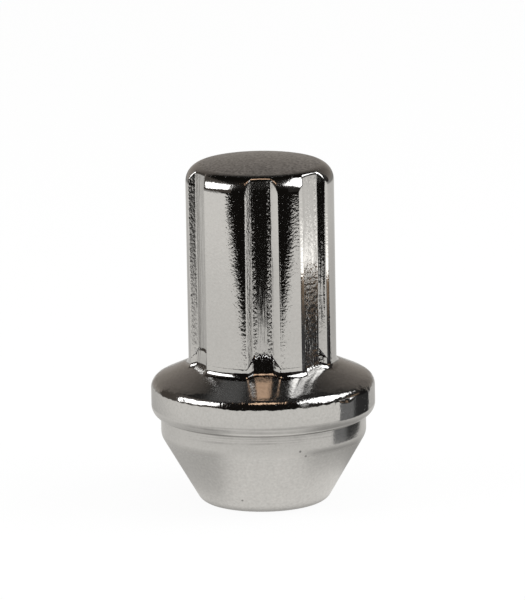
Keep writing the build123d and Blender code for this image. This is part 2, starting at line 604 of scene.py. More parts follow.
# Turns over which the thread reaches its depth and runs out
run_in = 0.7
run_out = 1.5
bore_radius = thread_diameter / 2 - thread_depth
hole_depth = 34.0
drill_half_angle = radians(59)
point_height = bore_radius / tan(drill_half_angle)
sink_depth = sink_radius - bore_radius
bore_columns = 97
bore_angles = np.linspace(0, full_turn, bore_columns)
# Share of the pitch at each corner of the thread, and whether it is in the root
crest_and_root = [(0.0, 0), (0.25, 0), (0.5625, 1), (0.6875, 1)]


def thread_rows():
    """Radius and height of each ring inside the hole, from the countersink to the drill point."""
    ring = np.ones(bore_columns)
    rings = [(sink_radius * ring, 0 * ring), (bore_radius * ring, sink_depth * ring)]
    turns = int((thread_end - sink_depth) / thread_pitch) + 2
    for turn in range(-1, turns):
        for phase, cut in crest_and_root:
            climb = sink_depth + thread_pitch * (turn + phase + bore_angles / full_turn)
            height = np.clip(climb, sink_depth, thread_end)
            fade_in = np.clip((height - sink_depth) / (run_in * thread_pitch), 0, 1)
            fade_out = np.clip((thread_end - height) / (run_out * thread_pitch), 0, 1)
            rings.append((bore_radius + cut * thread_depth * fade_in * fade_out, height))
    rings.append((bore_radius * ring, hole_depth * ring))
    return rings


bore_rows = thread_rows()
print(len(bore_rows), "rows inside the hole")

# %% [markdown]
# ## Marks of the finish
# The plating is not the same all over. It grew a coarse crust along the corners of the groove floors and on
# a few flanks, and the lower part of the worn groove's floor is flecked. Painted textures would need a UV
# map, so every point of the mesh carries a number for each mark instead. The materials read these numbers,
# and a finish can change gradually rather than stop at a face.

# %% Crust and flecks around the barrel
# Half width of the crust along a floor's corner, and what it loses at a steeper wall and in the worn groove
corner_reach = 0.25
steep_loss = 2.0
worn_loss = 0.5
# Angle, half width and strength of each flank that the tool left rough
rough_flanks = [
    (-100.0, 2.0, 0.4),
    (-31.0, 3.0, 0.05),
    (-163.5, 2.2, 0.4),
    (-43.5, 4.5, 0.2),
    (79.0, 2.4, 0.5),
    (139.0, 2.4, 0.3),
]
# Angle and half width of the flecks
fleck_place = -43.0
fleck_half = 10.0


def crusted_columns():
    """How crusted each column is: along the floor corners of every groove, and all over a few flanks."""
    floor_x = barrel_radius - barrel_groove["depth"]
    crusted = np.zeros(columns.shape)
    for centre, wider in zip(groove_angles, wider_left):
        signed = signed_turn(columns, centre)
        extra = wider * (signed < 0)
        apart = np.abs(signed) * floor_x - barrel_groove["floor"] / 2 - extra + corner_reach
        strength = 1 - steep_loss * extra - worn_loss * (centre == worn_groove)
        crusted = np.maximum(crusted, strength * np.exp(-((apart / corner_reach) ** 2)))
    for place, half, strength in rough_flanks:
        crusted = np.maximum(crusted, strength * around(place, half))
    return crusted


crusted = crusted_columns()
flecked = around(fleck_place, fleck_half, power=6)
print("crust up to", round(crusted.max(), 2), "and flecks on", int(flecked.round().sum()), "columns")

# %% Marks of every point
mark_names = ("haze", "groove", "crust", "edge", "fleck", "film")
# Height below which a groove looks like one, and the height over which that starts
groove_top = shoulder_z + 2.0
groove_fade = 0.4
# Height at which the crust of the barrel ends, and what is left of it below
crust_end = foot_height + 0.3
crust_left = 0.15
# Upper end of the flecks, and the height over which they fade
fleck_top = 34.5
fleck_fade = 3.0
groove_depth = np.clip((barrel_radius - barrel_wall) / barrel_groove["depth"], 0, 1)


def row_marks(row):
    """Every mark of one row, for each column."""
    height = row["height"]
    in_barrel = row["part"] == "barrel"
    below_rim = in_barrel * np.clip((groove_top - height) / groove_fade, 0, 1)
    above_foot = np.clip(height - crust_end, crust_left, 1)
    groove = groove_depth * below_rim
    crust = np.maximum(crusted * below_rim * above_foot, row["crust"])
    fleck = flecked * in_barrel * np.clip((fleck_top - height) / fleck_fade, 0, 1)
    return {**row, "groove": groove, "crust": crust, "fleck": fleck}


def point_marks():
    """Each mark on every point: the top of the dome, the rows, and a hole without any."""
    marked = [row_marks(row) for row in rows]
    top = {"haze": crown_haze, "film": crown_film}
    hole = np.zeros(bore_columns * len(bore_rows) + 1)
    marks = {}
    for name in mark_names:
        marks[name] = np.concatenate([[top.get(name, 0.0)], *(row[name] for row in marked), hole])
    return marks


marks = point_marks()
print("highest value of each mark", {name: round(values.max(), 2) for name, values in marks.items()})

# %% [markdown]
# ## One closed mesh
# The outside and the hole become two grids of quads. Two separate skins would be simpler, but would leave
# open edges at the mouth of the hole. The grids have different numbers of columns, so the ring between them
# is zipped with triangles. That keeps the nut one closed skin, which a printer or a solver can use as it is.

# %% Grid helpers
def ring_points(angles, radius, height):
    """Points of one ring, in metres."""
    return np.stack([radius * np.cos(angles), radius * np.sin(angles), height], axis=1) * MM


def grid_quads(start, row_count, column_count, closed):
    """Quads of a grid of points, facing outwards when rows run down the profile."""
    last = column_count if closed else column_count - 1
    quads = []
    for i in range(row_count - 1):
        top = start + i * column_count
        low = top + column_count
        for j in range(last):
            k = (j + 1) % column_count
            quads.append((top + j, low + j, low + k, top + k))
    return quads


def zip_rings(upper, upper_angles, lower, lower_angles):
    """Triangles between two rings with different numbers of points."""
    faces = []
    i = j = 0
    upper_turns = np.append(upper_angles, upper_angles[0] + full_turn)
    lower_turns = np.append(lower_angles, lower_angles[0] + full_turn)
    while i < len(upper) or j < len(lower):
        a, d = upper[i % len(upper)], lower[j % len(lower)]
        step_upper = j == len(lower) or (i < len(upper) and upper_turns[i + 1] <= lower_turns[j + 1])
        if step_upper:
            faces.append((a, d, upper[(i + 1) % len(upper)]))
            i += 1
        else:
            faces.append((a, d, lower[(j + 1) % len(lower)]))
            j += 1
    return faces


print("outside grid", len(rows), "x", len(columns), "and hole grid", len(bore_rows), "x", bore_columns)

# %% Points and faces
BRIGHT, SATIN, STEEL = 0, 1, 2


def nut_points():
    """Every point: the top of the dome, the rows, the rings of the hole and the drill point's tip."""
    points = [np.array([[0, 0, overall_height * MM]])]
    points += [ring_points(columns, row["radius"], row["height"]) for row in rows]
    points += [ring_points(bore_angles, radius, height) for radius, height in bore_rows]
    points.append(np.array([[0, 0, (hole_depth + point_height) * MM]]))
    return np.concatenate(points)


def nut_faces():
    """Every face, and the number of its finish."""
    count = len(columns)
    faces = [(0, 1 + j, 1 + (j + 1) % count) for j in range(count)]
    faces += grid_quads(1, len(rows), count, True)
    finishes = [BRIGHT] * count
    for row in rows[1:]:
        finishes += [SATIN if row["part"] == "seat" else BRIGHT] * count
    bore_start = 1 + count * len(rows)
    last_ring = range(bore_start - count, bore_start)
    first_ring = range(bore_start, bore_start + bore_columns - 1)
    zipped = zip_rings(last_ring, columns, first_ring, bore_angles[:-1])
    bore = grid_quads(bore_start, len(bore_rows), bore_columns, False)
    tip = bore_start + bore_columns * len(bore_rows)
    last = tip - bore_columns
    bore += [(last + j, tip, last + j + 1) for j in range(bore_columns - 1)]
    finishes += [SATIN] * len(zipped) + [STEEL] * len(bore)
    return faces + zipped + bore, finishes


points = nut_points()
faces, finishes = nut_faces()
print(len(points), "points and", len(faces), "faces, of which", finishes.count(STEEL), "are in the hole")

# %% Build the nut
merge_distance = 0.0001 * MM
sharp_angle = radians(28)


def merge_doubles(mesh):
    """Joins points that lie on each other and drops the faces that this leaves empty."""
    work = bmesh.new()
    work.from_mesh(mesh)
    bmesh.ops.remove_doubles(work, verts=work.verts, dist=merge_distance)
    bmesh.ops.dissolve_degenerate(work, edges=work.edges, dist=merge_distance)
    work.to_mesh(mesh)
    work.free()


def build_nut():
    """The nut's object, with its finish marks as attributes on every point."""
    mesh = bpy.data.meshes.new("wheel_nut_skin")
    mesh.from_pydata(points.tolist(), [], faces)
    mesh.polygons.foreach_set("material_index", finishes)
    for name, values in marks.items():
        layer = mesh.attributes.new(name, "FLOAT", "POINT")
        layer.data.foreach_set("value", values.astype(np.float32))
    merge_doubles(mesh)
    mesh.shade_smooth()
    mesh.set_sharp_from_angle(angle=sharp_angle)
    skin = bpy.data.objects.new("wheel_nut_skin", mesh)
    bpy.context.scene.collection.objects.link(skin)
    return skin


nut = build_nut()
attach(nut, "root")
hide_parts("wheel_nut")
checker = bmesh.new()
checker.from_mesh(nut.data)
open_edges = sum(not edge.is_manifold for edge in checker.edges)
triangles = sum(len(face.verts) - 2 for face in checker.faces)
volume = checker.calc_volume() / MM**3
print("triangles", triangles, "open edges", open_edges, "volume", round(volume, 1), "mm3")
checker.free()

# %% [markdown]
# ## Shared effects
# Several finishes share the same marks: the fine grain of the plating, drawn streaks, turning rings, specks
# of dust and a soft mottling. Each is a node group, built once, with its sizes as inputs. Nodes could be
# placed by hand in every material, but then a change has to be made in each. Heights come out in
# micrometres, so that one Bump node can add them up at true scale.

# %% Node helpers
def put(tree, kind, inputs=None, **settings):
    """A new node with its settings, and a value or a link for each named input."""
    made = tree.nodes.new(kind)
    for name, value in settings.items():
        setattr(made, name, value)
    for socket, value in (inputs or {}).items():
        if isinstance(value, bpy.types.NodeSocket):
            tree.links.new(value, made.inputs[socket])
        else:
            made.inputs[socket].default_value = value
    return made


def calc(tree, operation, first, second):
    """The output of a Math node."""
    return put(tree, "ShaderNodeMath", {0: first, 1: second}, operation=operation).outputs[0]


def plus(tree, first, second):
    """Two values added up."""
    return calc(tree, "ADD", first, second)


def minus(tree, first, second):
    """The second value taken from the first."""
    return calc(tree, "SUBTRACT", first, second)


def times(tree, first, second):
    """Two values multiplied."""
    return calc(tree, "MULTIPLY", first, second)


def map_range(tree, value, low, high, start=0.0, end=1.0, kind="LINEAR"):
    """A value carried from the range low to high over to start to end, and held at its ends."""
    ranges = {"Value": value, "From Min": low, "From Max": high, "To Min": start, "To Max": end}
    return put(tree, "ShaderNodeMapRange", ranges, interpolation_type=kind).outputs[0]


print("helpers", [helper.__name__ for helper in (put, calc, plus, minus, times, map_range)])

# %% Place and noise helpers
def scaled(tree, vector, scale):
    """A vector made longer or shorter."""
    return put(tree, "ShaderNodeVectorMath", {0: vector, "Scale": scale}, operation="SCALE").outputs[0]


def distance(tree, first, second):
    """The distance between two places."""
    return put(tree, "ShaderNodeVectorMath", {0: first, 1: second}, operation="DISTANCE").outputs["Value"]


def millimetres(tree):
    """The place on the nut, in millimetres."""
    return scaled(tree, put(tree, "ShaderNodeTexCoord").outputs["Object"], 1 / MM)


def xyz(tree, place):
    """The three numbers of a place."""
    return tuple(put(tree, "ShaderNodeSeparateXYZ", {0: place}).outputs)


def noise(tree, place, size, detail=2.0):
    """Noise from -0.5 to 0.5 with features of that size in millimetres."""
    scale = calc(tree, "DIVIDE", 1.0, size)
    made = put(tree, "ShaderNodeTexNoise", {"Vector": place, "Scale": scale, "Detail": detail})
    return minus(tree, made.outputs[0], 0.5)


print("1 mm in the mesh is", MM, "m, so places are scaled by", 1 / MM)

# %% Group helpers
def new_group(name, inputs, outputs):
    """An empty shader group with float inputs and outputs, and the sockets at its two ends."""
    group = bpy.data.node_groups.new(name, "ShaderNodeTree")
    for label, value in inputs.items():
        socket = group.interface.new_socket(name=label, in_out="INPUT", socket_type="NodeSocketFloat")
        socket.default_value = value
    for label in outputs:
        group.interface.new_socket(name=label, in_out="OUTPUT", socket_type="NodeSocketFloat")
    return group, group.nodes.new("NodeGroupInput").outputs, group.nodes.new("NodeGroupOutput").inputs


def sockets(group):
    """The names of a group's inputs and outputs."""
    return [item.name for item in group.interface.items_tree]


print("node groups so far", len(bpy.data.node_groups))

# %% Group of the plating's grain
def plating_grain():
    """Fine pebbled grain and long soft ripples of plated metal."""
    sizes = {"Grain Size": 0.3, "Grain Height": 8.0, "Ripple Size": 2.5, "Ripple Height": 10.0}
    group, given, made = new_group("plating_grain", sizes, ["Height"])
    place = millimetres(group)
    grain = times(group, noise(group, place, given["Grain Size"]), given["Grain Height"])
    ripple_noise = noise(group, place, given["Ripple Size"], detail=0.0)
    ripple = times(group, ripple_noise, given["Ripple Height"])
    group.links.new(plus(group, grain, ripple), made["Height"])
    return group


print("plating_grain", sockets(plating_grain()))

# %% Group of drawn streaks
def drawn_streaks():
    """Upright streaks that the forming tool drew along the barrel; a smaller squeeze makes them longer."""
    sizes = {"Streak Width": 0.25, "Streak Height": 6.0, "Squeeze": 0.04}
    group, given, made = new_group("drawn_streaks", sizes, ["Height"])
    squeeze = put(group, "ShaderNodeCombineXYZ", {0: 1.0, 1: 1.0, 2: given["Squeeze"]}).outputs[0]
    factors = {0: millimetres(group), 1: squeeze}
    stretched = put(group, "ShaderNodeVectorMath", factors, operation="MULTIPLY").outputs[0]
    streaks = noise(group, stretched, given["Streak Width"])
    group.links.new(times(group, streaks, given["Streak Height"]), made["Height"])
    return group


print("drawn_streaks", sockets(drawn_streaks()))

# %% Group of turning rings
# How far a ring drifts over one millimetre sideways
ring_drift = 0.02


def turning_rings():
    """Fine rings that the lathe left around the axis."""
    sizes = {"Ring Width": 0.2, "Ring Height": 2.0}
    group, given, made = new_group("turning_rings", sizes, ["Height", "Mask"])
    x, y, z = xyz(group, millimetres(group))
    flat = put(group, "ShaderNodeCombineXYZ", {0: x, 1: y}).outputs[0]
    radius = distance(group, flat, (0.0, 0.0, 0.0))
    outwards = plus(group, radius, times(group, x, ring_drift))
    upwards = plus(group, z, times(group, y, ring_drift))
    profile = put(group, "ShaderNodeCombineXYZ", {0: outwards, 1: upwards}).outputs[0]
    rings = noise(group, profile, given["Ring Width"])
    group.links.new(times(group, rings, given["Ring Height"]), made["Height"])
    group.links.new(plus(group, rings, 0.5), made["Mask"])
    return group


print("turning_rings", sockets(turning_rings()))

# %% Group of specks
# How sharply a speck's edge ends
speck_edge = 40.0


def specks():
    """Sparse small specks of dust, each with a size of its own."""
    group, given, made = new_group("specks", {"Spacing": 0.8, "Speck Size": 0.1}, ["Mask"])
    scale = calc(group, "DIVIDE", 1.0, given["Spacing"])
    cells = put(group, "ShaderNodeTexVoronoi", {"Vector": millimetres(group), "Scale": scale})
    chance = put(group, "ShaderNodeSeparateColor", {0: cells.outputs["Color"]}).outputs[0]
    size = times(group, times(group, given["Speck Size"], scale), chance)
    inside = times(group, minus(group, size, cells.outputs["Distance"]), speck_edge)
    group.links.new(put(group, "ShaderNodeClamp", {0: inside}).outputs[0], made["Mask"])
    return group


print("specks", sockets(specks()))

# %% Group of mottling
def mottling():
    """Soft patches from -0.5 to 0.5 that make a plain colour or a mark uneven."""
    group, given, made = new_group("mottling", {"Patch Size": 1.0}, ["Patches"])
    group.links.new(noise(group, millimetres(group), given["Patch Size"]), made["Patches"])
    return group


print("mottling", sockets(mottling()))

# %% [markdown]
# ## Bright chrome
# Chrome is a mirror with a slightly dark, neutral colour. Nearly all of its look is in the slope of the
# surface and in how hazy it is, so the colour stays almost plain and the groups feed the bump and the
# roughness. The marks on the points decide where each bump shows: streaks in the grooves, crust in their
# corners, waves on worn edges and flecks in the worn groove. Dust and film are not metal, so they lower the
# Metallic value instead of adding a layer.

# %% Material helpers
chrome_colour = (0.56, 0.555, 0.545)
mottle_size = 0.35
MICROMETRE = 1e-6


def new_material(name):
    """A material with an empty Principled shader, its tree and that shader's inputs."""
    material = bpy.data.materials.new(name)
    material.use_nodes = True
    tree = material.node_tree
    return material, tree, tree.nodes["Principled BSDF"].inputs


def use(tree, name, values):
    """The outputs of a shared effect that is placed with its own values."""
    return put(tree, "ShaderNodeGroup", values, node_tree=bpy.data.node_groups[name]).outputs


def point_value(tree, name):
    """A value that the mesh holds on its points."""
    return put(tree, "ShaderNodeAttribute", attribute_name=name).outputs["Fac"]


def bump_from(tree, height):
    """The normal of a surface whose height is given in micrometres."""
    made = put(tree, "ShaderNodeBump", {"Strength": 1.0, "Distance": MICROMETRE, "Height": height})
    return made.outputs["Normal"]


def mottled(tree, amount, level):
    """The plating's colour at a level, uneven by an amount."""
    patches = use(tree, "mottling", {"Patch Size": mottle_size})["Patches"]
    return scaled(tree, chrome_colour, plus(tree, times(tree, patches, amount), level))


print("chrome colour", chrome_colour)

# %% Finish of the barrel and flange
# What the grooves lose of the grain, how much darker their colour gets the deeper they are, and the haze
# that they gain
groove_calm = 0.8
groove_darkening = 0.1
groove_haze = 0.03
# How much of the crust a worn edge shows, and how much of the surface a full film covers
edge_crust = 0.2
film_cover = 0.09
# Cover of a speck on a polished face and on a hazy one, and the haze of each
speck_cover = (0.4, 0.1)
speck_haze = (0.06, 0.12)
# The colour is uneven by this much, and by this times the haze squared
blotch_least = 0.15
blotch_growth = 20.0
# Seen at a grazing angle, the plating mirrors a little less than all
grazing_tint = (0.8, 0.8, 0.8, 1.0)


def bright_chrome():
    """Mirror chrome: streaky in the grooves, crusted in their corners, dusty on its upper faces."""
    material, tree, shader = new_material("bright_chrome")
    haze, groove, crusted, edge, flecked, film = (point_value(tree, name) for name in mark_names)
    grain = use(tree, "plating_grain", {"Grain Size": 0.33, "Grain Height": 11.0, "Ripple Height": 14.0})
    waves = use(tree, "plating_grain", {"Grain Size": 0.9, "Grain Height": 45.0, "Ripple Height": 0.0})
    flecks = use(tree, "plating_grain", {"Grain Size": 0.55, "Grain Height": 110.0, "Ripple Height": 0.0})
    crust = use(tree, "drawn_streaks", {"Streak Width": 0.22, "Streak Height": 85.0, "Squeeze": 0.5})
    streaks = use(tree, "drawn_streaks", {"Streak Width": 0.3, "Streak Height": 60.0})
    dust = use(tree, "specks", {"Spacing": 0.34, "Speck Size": 0.06})
    calm = minus(tree, 1.0, times(tree, groove, groove_calm))
    worn_edge = plus(tree, waves["Height"], times(tree, crust["Height"], edge_crust))
    height = times(tree, grain["Height"], calm)
    for layer, mark in (
        (crust["Height"], crusted),
        (worn_edge, edge),
        (streaks["Height"], groove),
        (flecks["Height"], flecked),
    ):
        height = plus(tree, height, times(tree, layer, mark))
    cover = times(tree, dust["Mask"], map_range(tree, haze, *speck_haze, *speck_cover))
    cover = plus(tree, times(tree, film, film_cover), cover)
    level = minus(tree, 1.0, times(tree, groove, groove_darkening))
    blotchy = plus(tree, times(tree, calc(tree, "POWER", haze, 2.0), blotch_growth), blotch_least)
    rough = plus(tree, haze, times(tree, groove, groove_haze))
    shader["Specular Tint"].default_value = grazing_tint
    tree.links.new(mottled(tree, blotchy, level), shader["Base Color"])
    tree.links.new(minus(tree, 1.0, cover), shader["Metallic"])
    tree.links.new(rough, shader["Roughness"])
    tree.links.new(bump_from(tree, height), shader["Normal"])
    return material


nut.data.materials.append(bright_chrome())
print("finish", BRIGHT, "is", nut.data.materials[BRIGHT].name)

# %% [markdown]
# ## Satin seat
# The collar and the cone were turned and then plated without much polish. Their chrome is the same metal
# with more haze, faint rings of the lathe all over, darker turning lines under the flange and three small
# pits. The pits are too small for the mesh, so each is a dark spot at a given place in space.

# %% Turning lines and pits
# The turning lines start between these heights, on the front between these distances, and are patchy
line_heights = (10.3, 10.7)
line_fronts = (-8.0, -12.5)
patch_size = 2.5
# Ring value at which a line starts, how sharply, and how dark it gets
line_start = 0.35
line_gain = 2.5
line_dark = 0.65
# Angle, distance from the axis and height of each pit
pit_places = [(-69.6, 13.75, 9.5), (-65.9, 13.45, 8.75), (-108.2, 9.6, 2.0)]
pit_radius = 0.1
pit_dark = 0.6


def pit_mask(tree, place):
    """One inside each pit and zero outside."""
    mask = 0.0
    for angle, radius, height in pit_places:
        middle = (radius * cos(radians(angle)), radius * sin(radians(angle)), height)
        inside = map_range(tree, distance(tree, place, middle), pit_radius, 2 * pit_radius, 1.0, 0.0)
        mask = calc(tree, "MAXIMUM", mask, inside)
    return mask


def line_mask(tree, place):
    """One on each dark turning line at the front under the flange, and zero away from them."""
    lines = use(tree, "turning_rings", {"Ring Width": 0.3})
    lines = times(tree, minus(tree, lines["Mask"], line_start), line_gain)
    mask = put(tree, "ShaderNodeClamp", {0: lines}).outputs[0]
    _, y, z = xyz(tree, place)
    under_flange = map_range(tree, z, *line_heights)
    at_front = map_range(tree, y, *line_fronts)
    patchy = plus(tree, use(tree, "mottling", {"Patch Size": patch_size})["Patches"], 0.5)
    for share in (under_flange, at_front, patchy):
        mask = times(tree, mask, share)
    return mask


print(len(pit_places), "pits, and turning lines above", line_heights[0], "mm")

# %% Finish of the collar and cone
seat_mottle = 1.2


def satin_seat():
    """Satin chrome of the collar and cone, with turning lines under the flange and a few pits."""
    material, tree, shader = new_material("satin_seat")
    haze = point_value(tree, "haze")
    place = millimetres(tree)
    grain = use(tree, "plating_grain", {"Grain Size": 0.3, "Grain Height": 7.0, "Ripple Height": 5.0})
    rings = use(tree, "turning_rings", {"Ring Width": 0.25, "Ring Height": 3.0})
    line_shade = times(tree, line_mask(tree, place), line_dark)
    pit_shade = times(tree, pit_mask(tree, place), pit_dark)
    level = minus(tree, 1.0, calc(tree, "MAXIMUM", line_shade, pit_shade))
    shader["Metallic"].default_value = 1.0
    tree.links.new(mottled(tree, times(tree, haze, seat_mottle), level), shader["Base Color"])
    tree.links.new(haze, shader["Roughness"])
    tree.links.new(bump_from(tree, plus(tree, grain["Height"], rings["Height"])), shader["Normal"])
    return material


nut.data.materials.append(satin_seat())
print("finish", SATIN, "is", nut.data.materials[SATIN].name)

# %% [markdown]
# ## Cut steel
# Plating hardly reaches into a blind hole, and the tap cuts the thread bright. The chrome would do in the
# dark, but the hole is seen when the nut lies on its side. So it has a finish of its own, plain steel:
# greyer than the chrome, with the rings of the tool in both its height and its roughness.

# %% Finish of the thread
steel_colour = (0.36, 0.35, 0.335, 1.0)
steel_rough = 0.25
ring_rough = 0.25


def thread_steel():
    """Plain cut steel inside the hole, greyer and duller than the plating."""
    material, tree, shader = new_material("thread_steel")
    rings = use(tree, "turning_rings", {"Ring Width": 0.12, "Ring Height": 4.0})
    grain = use(tree, "plating_grain", {"Grain Size": 0.2, "Grain Height": 4.0})
    rough = plus(tree, times(tree, rings["Mask"], ring_rough), steel_rough)
    shader["Base Color"].default_value = steel_colour
    shader["Metallic"].default_value = 1.0
    tree.links.new(rough, shader["Roughness"])
    tree.links.new(bump_from(tree, plus(tree, grain["Height"], rings["Height"])), shader["Normal"])
    return material


nut.data.materials.append(thread_steel())
print("finish", STEEL, "is", nut.data.materials[STEEL].name)

# %% [markdown]
# ## Table
# The nut stands on a plain pale table. Brighter lamps would make it white but burn out the metal, so most
# of its white is its own wherever it is seen directly or in the metal. The rest is lit by the lamps and
# keeps the nut's soft shadow.

# %% Stage helpers
square = [(-1, -1), (1, -1), (1, 1), (-1, 1)]


def seen_or_mirrored(tree):
    """One for rays from the camera, from a mirror or through glass, and zero for the rest."""
    path = put(tree, "ShaderNodeLightPath").outputs
    seen = calc(tree, "MAXIMUM", path["Is Camera Ray"], path["Is Glossy Ray"])
    return calc(tree, "MAXIMUM", seen, path["Is Transmission Ray"])


def empty_material(name):
    """A material without nodes, and its tree."""
    material = bpy.data.materials.new(name)
    material.use_nodes = True
    material.node_tree.nodes.clear()
    return material, material.node_tree


def flat_card(name, corners, material):
    """A stage object of one flat face, with its corners in millimetres."""
    mesh = bpy.data.meshes.new(name)
    points = [tuple(x * MM for x in corner) for corner in corners]
    mesh.from_pydata(points, [], [tuple(range(len(points)))])
    mesh.materials.append(material)
    card = bpy.data.objects.new(name, mesh)
    bpy.context.scene.collection.objects.link(card)
    return card


def level_square(half, height):
    """Corners of a level square around the axis."""
    return [(x * half, y * half, height) for x, y in square]


print("a square of 1 m has corners", level_square(500, 0))

# %% Pale table
table_colour = (0.93, 0.93, 0.925, 1)
table_glow = 0.92
table_half = 3000.0


def pale_table():
    """White table paper, most of whose white is its own where it is seen or mirrored."""
    material, tree = empty_material("pale_table")
    paper = put(tree, "ShaderNodeBsdfDiffuse", {"Color": table_colour})
    glow = put(tree, "ShaderNodeEmission", {"Color": (1, 1, 1, 1), "Strength": 1.0})
    share = times(tree, seen_or_mirrored(tree), table_glow)
    mixed = put(tree, "ShaderNodeMixShader", {0: share, 1: paper.outputs[0], 2: glow.outputs[0]})
    put(tree, "ShaderNodeOutputMaterial", {"Surface": mixed.outputs[0]})
    return material


table = flat_card("table", level_square(table_half, 0), pale_table())
print("table is", [round(x, 1) for x in table.dimensions], "m")

# %% [markdown]
# ## Dark room
# Chrome lit only by white looks like grey paint. Product photographers stand dark cards around it, which
# the metal mirrors as crisp dark bands. The cards here are seen only in mirrors: they cast no shadow, hide
# nothing and take no light away. They make a dim room, brownish behind, with a black apron along the table's
# front whose edge the barrel mirrors as the ragged border between its pale and its dark side.

# %% Cards that only the metal sees
black_colour = (0.008, 0.007, 0.006)


def own_light(tree, colour, strength=1.0):
    """Ends a tree in a face with a colour and strength of its own."""
    face = put(tree, "ShaderNodeEmission", {"Color": colour, "Strength": strength})
    put(tree, "ShaderNodeOutputMaterial", {"Surface": face.outputs[0]})


def card_material(name, colour):
    """A card of one even brightness."""
    material, tree = empty_material(name)
    own_light(tree, (*colour, 1))
    return material


def mirrored_card(name, corners, material):
    """A card that is hidden from everything but mirrors."""
    card = flat_card(name, corners, material)
    card.visible_camera = False
    card.visible_diffuse = False
    card.visible_shadow = False
    card.visible_transmission = False
    card.visible_volume_scatter = False


black = card_material("black_card", black_colour)
print("card colour", black.name, black_colour)

# %% Dim back of the room
room_height = 900.0
# Colour of the back by its share of the room's height
back_stops = [
    (0.0, (0.5, 0.46, 0.42)),
    (0.2, (0.335, 0.3, 0.266)),
    (0.45, (0.205, 0.18, 0.16)),
    (0.65, (0.14, 0.122, 0.107)),
    (0.9, (0.07, 0.061, 0.053)),
]
# The back is dimmer to the right, between these places
dim_places = (100.0, 350.0)
dim_level = 0.7


def colour_ramp(tree, value, stops):
    """A colour that follows a value from 0 to 1 by way of the stops."""
    ramp = put(tree, "ShaderNodeValToRGB", {0: value})
    elements = ramp.color_ramp.elements
    while len(elements) < len(stops):
        elements.new(0.5)
    for element, (position, colour) in zip(elements, stops):
        element.position = position
        element.color = (*colour, 1)
    return ramp.outputs[0]


def dim_back():
    """The dim room behind: brownish near the table and darker towards the ceiling."""
    material, tree = empty_material("dim_back")
    x, _, z = xyz(tree, millimetres(tree))
    colour = colour_ramp(tree, calc(tree, "DIVIDE", z, room_height), back_stops)
    own_light(tree, colour, map_range(tree, x, *dim_places, 1.0, dim_level))
    return material


back = dim_back()
print("back", back.name, "with", len(back_stops), "colours")

# %% Walls and ceiling
room_half = 700.0
left_colour = (0.085, 0.074, 0.064)
right_colour = (0.03, 0.028, 0.026)


def wall(name, start, end, material):
    """An upright card between two points of the table, as tall as the room."""
    corners = [(*start, 0), (*end, 0), (*end, room_height), (*start, room_height)]
    mirrored_card(name, corners, material)


back_left, back_right = (-room_half, room_half), (room_half, room_half)
front_left, front_right = (-room_half, -room_half), (room_half, -room_half)
wall("back_card", back_right, back_left, back)
wall("left_card", back_left, front_left, card_material("brown_card", left_colour))
wall("right_card", front_right, back_right, card_material("side_card", right_colour))
wall("front_card", front_left, front_right, black)
mirrored_card("ceiling_card", level_square(room_half, room_height), black)
print("room", 2 * room_half, "mm wide and", room_height, "mm high")

# %% Black apron along the table's front
apron_height = 0.3
# Corners of its edge from left to right, in three stretches between its ends at the walls
left_end = (-room_half, -330)
right_end = (room_half, -70)
left_front = [(-171, -129), (-111, -125), (-73, -113), (-53, -101), (-26, -104)]
middle_front = [(4, -135), (32, -104), (35, -104), (50, -146), (70, -137), (56, -102)]
right_front = [(92, -113), (144, -116), (160, -106), (168, -86), (175, -76)]
table_front = [left_end, *left_front, *middle_front, *right_front, right_end]
apron = [*table_front, front_right, front_left]
mirrored_card("front_apron", [(x, y, apron_height) for x, y in apron], black)
print("apron with", len(apron), "corners")

# %% [markdown]
# ## Table as the metal sees it
# The barrel's upright walls mirror the table, so each soft change on it shows as a change of grey. Lamps
# alone can't set these shades one by one. A card just above the table, seen only in mirrors, has them as
# levels by distance from the axis: the shadow at both sides of the nut, a dimmer far side and, in the
# table's gloss, the pool of the right lamp.

# %% Shaded table
shaded_height = 0.2
table_tint = (1.0, 0.978, 0.938)
# Distance that the colour ramp spans, and the brightness at each distance from the axis
table_reach = 400.0
# These levels are painted light and shade of the table; the darkest, nearest one is painted shade where the
# nut stands on it
table_levels = [
    (7.6, 0.15), (8.8, 0.95), (15, 0.92), (22, 0.87), (40, 0.85), (57, 0.82),
    (73, 0.9), (109, 0.84), (150, 0.9), (190, 1.0), (240, 0.97), (320, 0.4),
]
# The same for the depth of the shadow, and how far the shadow leans to the right
shadow_reach = 50.0
shadow_levels = [(10, 0.0), (14, 0.28), (18, 0.36), (26, 0.22), (45, 0.0)]
shadow_lean = 3.0
# Directions between which the shadow starts beside the front, and where on the right it gets deeper
shadow_start = (-0.95, -0.65)
deeper_start = 0.5
deeper_gain = 1.5
far_level = 0.76
# Middle, radius and brightness of the lamp's pool
pool_middle = (152.0, 12.0, 0.0)
pool_radius = 34.0
pool_level = 2.0


def level_ramp(tree, value, reach, levels, tint=(1, 1, 1)):
    """Brightness in one tint that follows a distance in millimetres."""
    stops = [(place / reach, [level * share for share in tint]) for place, level in levels]
    return colour_ramp(tree, calc(tree, "DIVIDE", value, reach), stops)


